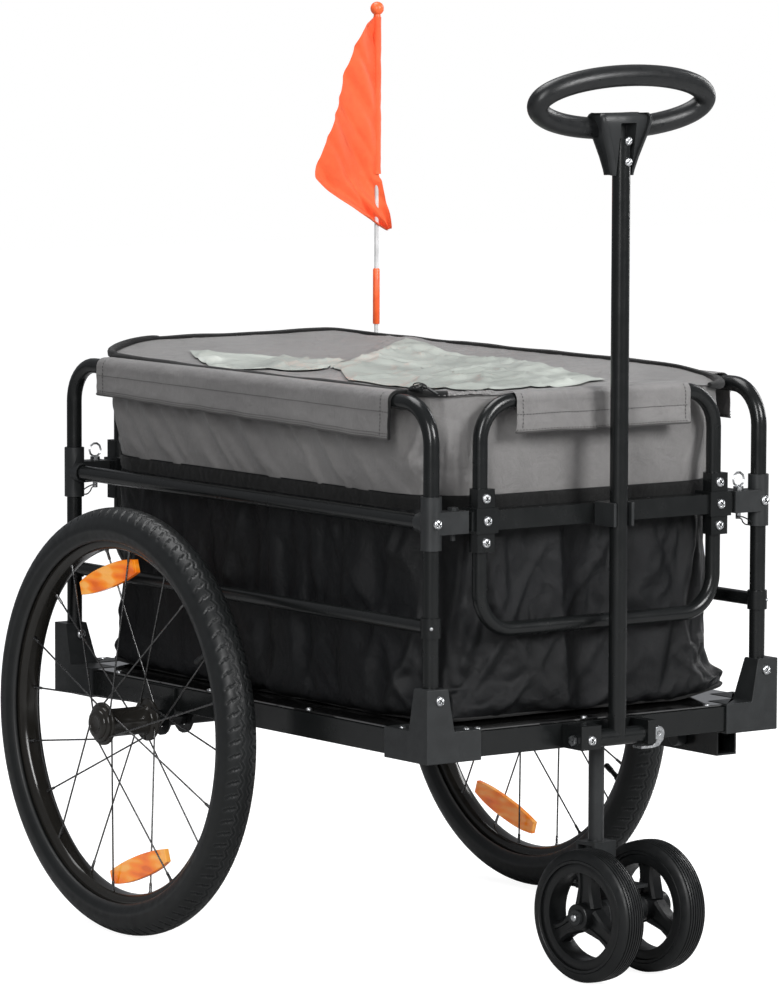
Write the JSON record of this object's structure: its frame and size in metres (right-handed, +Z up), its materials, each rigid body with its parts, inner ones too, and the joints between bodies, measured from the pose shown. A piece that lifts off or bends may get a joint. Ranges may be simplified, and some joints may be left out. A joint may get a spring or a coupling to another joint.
{
  "type": "bike cargo trailer",
  "caption": "Two-wheeled bicycle cargo trailer standing as a hand wagon, with railed frame, zipped fabric bag, front caster, tilting pull handle and safety flag.",
  "frame": {"origin": "on the ground, at the middle of the footprint's bounding box", "axes": "+Z up; -Y forward, towards the pull handle and the front caster; +X to the right seen from the front"},
  "size_m": [0.688, 0.875, 1.0795],
  "materials": {
    "frame_paint": "satin black powder coat",
    "bracket_plastic": "fine-grained black moulded plastic",
    "floor_board": "glossy black board",
    "zinc_steel": "bright zinc plate",
    "grip_foam": "smooth black foam sleeve",
    "caster_rubber": "black rubber on a black core",
    "tyre": "black rubber with a block tread",
    "wheel_paint": "gloss black",
    "amber_lens": "moulded amber reflector",
    "black_cloth": "black woven polyester",
    "grey_cloth": "grey woven polyester with a black zipper",
    "flag_rod": "pale fibreglass rod with an orange ferrule",
    "flag_cloth": "bright orange nylon"
  },
  "bodies": {
    "frame": {"front_beam": "frame_paint", "rear_beam": "frame_paint", "left_side_beam": "frame_paint", "right_side_beam": "frame_paint", "front_left_corner_bracket": "bracket_plastic", "front_right_corner_bracket": "bracket_plastic", "rear_left_corner_bracket": "bracket_plastic", "rear_right_corner_bracket": "bracket_plastic", "floor_panel": "floor_board", "left_axle_saddle": "frame_paint", "right_axle_saddle": "frame_paint", "axle": "frame_paint", "left_arch": "frame_paint", "right_arch": "frame_paint", "front_left_tee_collar": "bracket_plastic", "front_right_tee_collar": "bracket_plastic", "rear_left_tee_collar": "bracket_plastic", "rear_right_tee_collar": "bracket_plastic", "left_upper_rail": "frame_paint", "left_lower_rail": "frame_paint", "right_upper_rail": "frame_paint", "right_lower_rail": "frame_paint", "front_gate_upper_loop": "frame_paint", "front_gate_lower_loop": "frame_paint", "front_gate_bar": "frame_paint", "rear_gate_upper_loop": "frame_paint", "rear_gate_lower_loop": "frame_paint", "rear_gate_bar": "frame_paint", "handle_bracket": "frame_paint", "handle_pivot_bolt": "zinc_steel", "pole_clip": "bracket_plastic", "tow_receiver": "frame_paint", "bag_liner": "black_cloth", "bag_skirt": "grey_cloth", "bag_cover": "grey_cloth", "flag_holder": "bracket_plastic", "flag_lower_rod": "flag_rod", "flag_upper_rod": "flag_rod", "flag_cloth": "flag_cloth"},
    "left_wheel": {"left_tyre": "tyre", "left_rim": "wheel_paint", "left_laced_hub": "wheel_paint", "left_upper_reflector": "amber_lens", "left_lower_reflector": "amber_lens"},
    "right_wheel": {"right_tyre": "tyre", "right_rim": "wheel_paint", "right_laced_hub": "wheel_paint", "right_upper_reflector": "amber_lens", "right_lower_reflector": "amber_lens"},
    "caster": {"caster_fork": "bracket_plastic"},
    "caster_left": {"left_caster_wheel": "caster_rubber"},
    "caster_right": {"right_caster_wheel": "caster_rubber"},
    "handle": {"handle_pole": "frame_paint", "grip_boss": "bracket_plastic", "grip_ring": "grip_foam"},
    "cam_lever": {"pivot_cam_lever": "zinc_steel"},
    "front_pin": {"front_gate_quick_pin": "zinc_steel"},
    "rear_pin": {"rear_gate_quick_pin": "zinc_steel"},
    "lock_knob": {"receiver_lock_knob": "bracket_plastic"}
  },
  "joints": [
    {"name": "left_wheel_spin", "type": "hinge", "parent": "frame", "child": "left_wheel", "pos_m": [-0.299, 0.18754, 0.25], "axis": [1, 0, 0], "continuous": true},
    {"name": "right_wheel_spin", "type": "hinge", "parent": "frame", "child": "right_wheel", "pos_m": [0.299, 0.18754, 0.25], "axis": [1, 0, 0], "continuous": true},
    {"name": "caster_swivel", "type": "hinge", "parent": "frame", "child": "caster", "pos_m": [0, -0.31916, 0.2], "axis": [0, 0, 1], "continuous": true},
    {"name": "caster_left_spin", "type": "hinge", "parent": "caster", "child": "caster_left", "pos_m": [-0.044, -0.36285, 0.075], "axis": [0.9925, 0.1219, 0], "continuous": true},
    {"name": "caster_right_spin", "type": "hinge", "parent": "caster", "child": "caster_right", "pos_m": [0.05327, -0.35091, 0.075], "axis": [0.9925, 0.1219, 0], "continuous": true},
    {"name": "handle_fold", "type": "hinge", "parent": "frame", "child": "handle", "pos_m": [0, -0.35596, 0.2725], "axis": [1, 0, 0], "range_deg": [0, 100]},
    {"name": "cam_lever_turn", "type": "hinge", "parent": "frame", "child": "cam_lever", "pos_m": [0.0538, -0.35596, 0.2725], "axis": [0, -1, 0], "range_deg": [0, 150]},
    {"name": "front_pin_lift", "type": "slide", "parent": "frame", "child": "front_pin", "axis": [0, 0, 1], "range_m": [0, 0.04]},
    {"name": "rear_pin_lift", "type": "slide", "parent": "frame", "child": "rear_pin", "axis": [0, 0, 1], "range_m": [0, 0.04]},
    {"name": "lock_knob_pull", "type": "slide", "parent": "frame", "child": "lock_knob", "axis": [-1, 0, 0], "range_m": [0, 0.006], "stiffness_N_per_m": 300}
  ]
}
